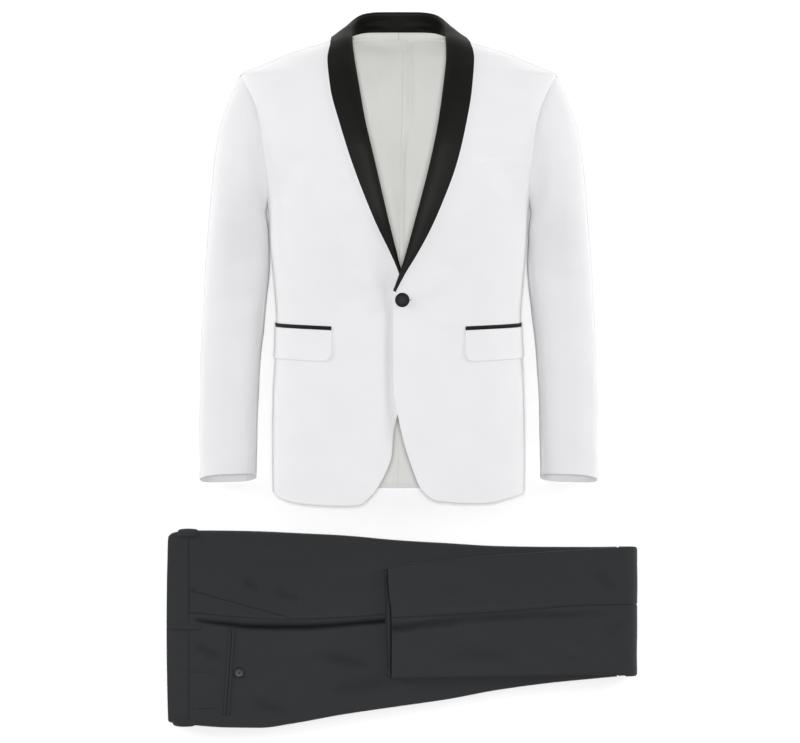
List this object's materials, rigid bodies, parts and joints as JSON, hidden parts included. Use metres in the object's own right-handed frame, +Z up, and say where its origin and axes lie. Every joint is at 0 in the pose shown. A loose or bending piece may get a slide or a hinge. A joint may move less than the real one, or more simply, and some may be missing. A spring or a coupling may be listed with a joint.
{
  "type": "tuxedo",
  "caption": "White shawl-collar dinner jacket lying open-hollow on its back, with dark dress trousers folded on their creases and at the knee below its hem.",
  "frame": {"origin": "middle of the set's bounding box, on the surface that the set lies on", "axes": "+Z up from the surface, +Y from the trousers towards the jacket's collar, +X to the wearer's left"},
  "size_m": [0.7325, 1.1113, 0.2394],
  "materials": {
    "white_wool": "matt, fine plain-faced wool",
    "black_satin": "satin with a soft cross-wise sheen",
    "grey_lining": "smooth lining with a slight sheen",
    "charcoal_wool": "matt, fine wool",
    "black_button": "dull black"
  },
  "bodies": {
    "root": {"back_left": "white_wool", "back_right": "white_wool", "front_left": "white_wool", "front_right": "white_wool", "side_body_left": "white_wool", "side_body_right": "white_wool", "sleeve_top_left": "white_wool", "sleeve_top_right": "white_wool", "sleeve_under_left": "white_wool", "sleeve_under_right": "white_wool", "flap_left": "white_wool", "flap_right": "white_wool", "chest_welt": "white_wool", "shawl_collar_left": "black_satin", "shawl_collar_right": "black_satin", "jet_left": "black_satin", "jet_right": "black_satin", "lining_left": "grey_lining", "lining_right": "grey_lining", "folded_layers": "charcoal_wool", "leg_right_front": "charcoal_wool", "leg_right_back": "charcoal_wool", "pocket_facing": "charcoal_wool", "leg_right_hem": "charcoal_wool", "leg_left_front": "charcoal_wool", "leg_left_back": "charcoal_wool", "waistband_front": "charcoal_wool", "waistband_back": "charcoal_wool", "belt_loop_side": "charcoal_wool", "belt_loop_front": "charcoal_wool", "belt_loop_back": "charcoal_wool", "back_welt_upper": "charcoal_wool", "back_welt_lower": "charcoal_wool", "button_front": "black_button", "back_pocket_button": "black_button"}
  },
  "joints": []
}
